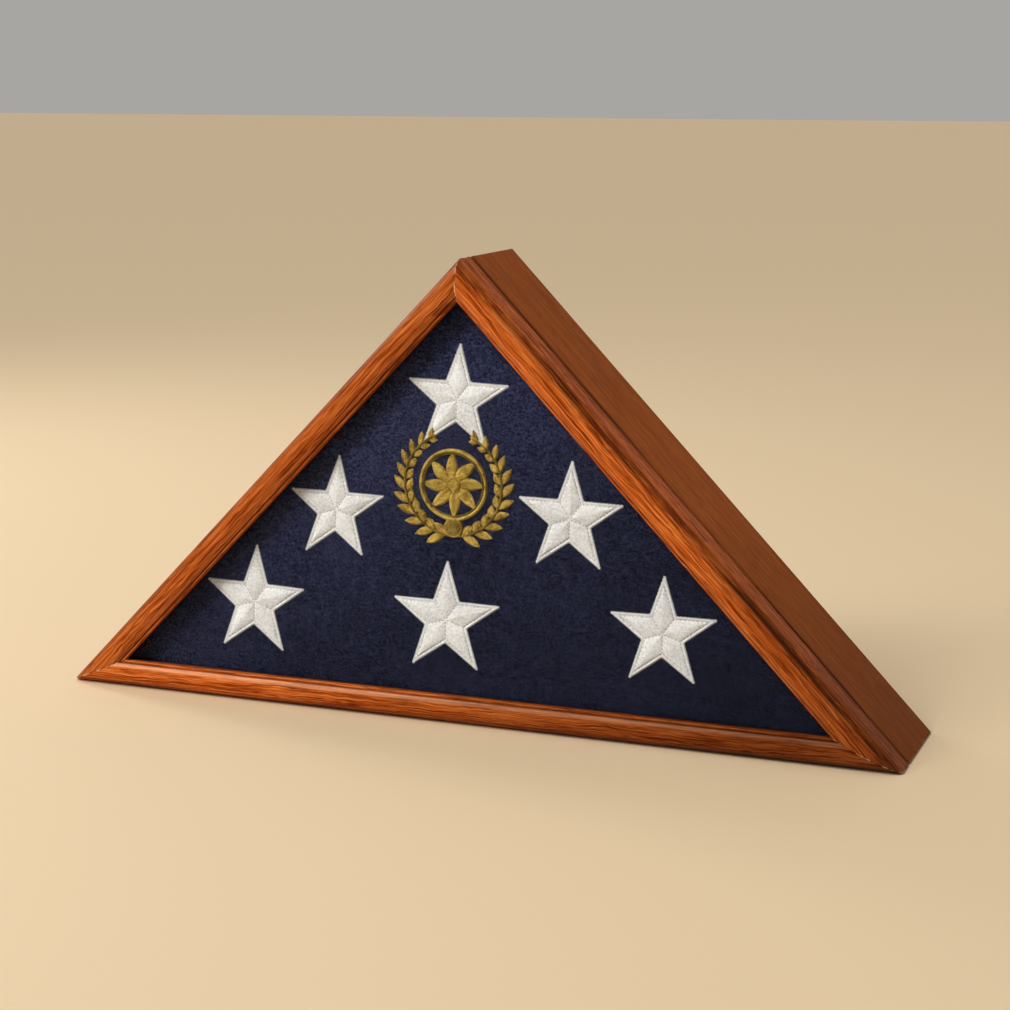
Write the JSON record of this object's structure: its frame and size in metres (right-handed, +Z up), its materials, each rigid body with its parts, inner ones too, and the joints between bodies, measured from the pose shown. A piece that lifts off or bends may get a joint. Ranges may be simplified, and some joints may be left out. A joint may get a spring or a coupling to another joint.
{
  "type": "folded flag display case",
  "caption": "Triangular stained oak display case on its long side, with a folded navy flag with white stars behind a glazed front and a hinged back door.",
  "frame": {"origin": "centre of the footprint, on the surface that the felt pads stand on", "axes": "+X to the right as seen from the front, the glazed front faces -Y, +Z up"},
  "size_m": [0.648, 0.1142, 0.3375],
  "materials": {
    "stained_oak": "gloss lacquer over a red-orange stain",
    "stained_panel": "satin lacquer over a brown stain",
    "dark_wood": "satin",
    "raw_wood": "bare",
    "glass": "clear float glass",
    "brass": "polished",
    "steel": "bright",
    "magnet_plating": "nickel plated",
    "navy_cotton": "matt brushed cotton",
    "white_cotton": "matt quilted cotton",
    "gold_thread": "metallic embroidery thread",
    "dark_felt": "matt felt"
  },
  "bodies": {
    "case": {"case_bottom": "stained_oak", "case_side_left": "stained_oak", "case_side_right": "stained_oak", "catch_magnets": "magnet_plating", "corner_block_left": "stained_panel", "corner_block_right": "stained_panel", "door_stop_left": "dark_wood", "door_stop_right": "dark_wood", "emblem": "gold_thread", "folded_flag": "navy_cotton", "foot_pads": "dark_felt", "front_rail_bottom": "stained_oak", "front_rail_left": "stained_oak", "front_rail_right": "stained_oak", "glass_pane": "glass", "glazing_brads": "steel", "glazing_stop_bottom": "dark_wood", "glazing_stop_left": "dark_wood", "glazing_stop_right": "dark_wood", "hinge_case_screws": "brass", "hinge_left_case_leaf": "brass", "hinge_left_pin": "brass", "hinge_right_case_leaf": "brass", "hinge_right_pin": "brass", "joint_dowels": "raw_wood", "mitre_splines": "raw_wood", "mitre_v_nails": "steel", "star_lower_left": "white_cotton", "star_lower_middle": "white_cotton", "star_lower_right": "white_cotton", "star_middle_left": "white_cotton", "star_middle_right": "white_cotton", "star_top": "white_cotton"},
    "back_door": {"back_door_panel": "stained_panel", "door_lining": "dark_felt", "strike_discs": "steel", "door_knob": "brass", "knob_screw": "brass", "hinge_left_door_leaf": "brass", "hinge_right_door_leaf": "brass", "hinge_door_screws": "brass"}
  },
  "joints": [
    {"name": "back_door_hinge", "type": "hinge", "parent": "case", "child": "back_door", "pos_m": [0, 0.04545, 0.016], "axis": [-1, 0, 0], "range_deg": [0, 90]}
  ]
}
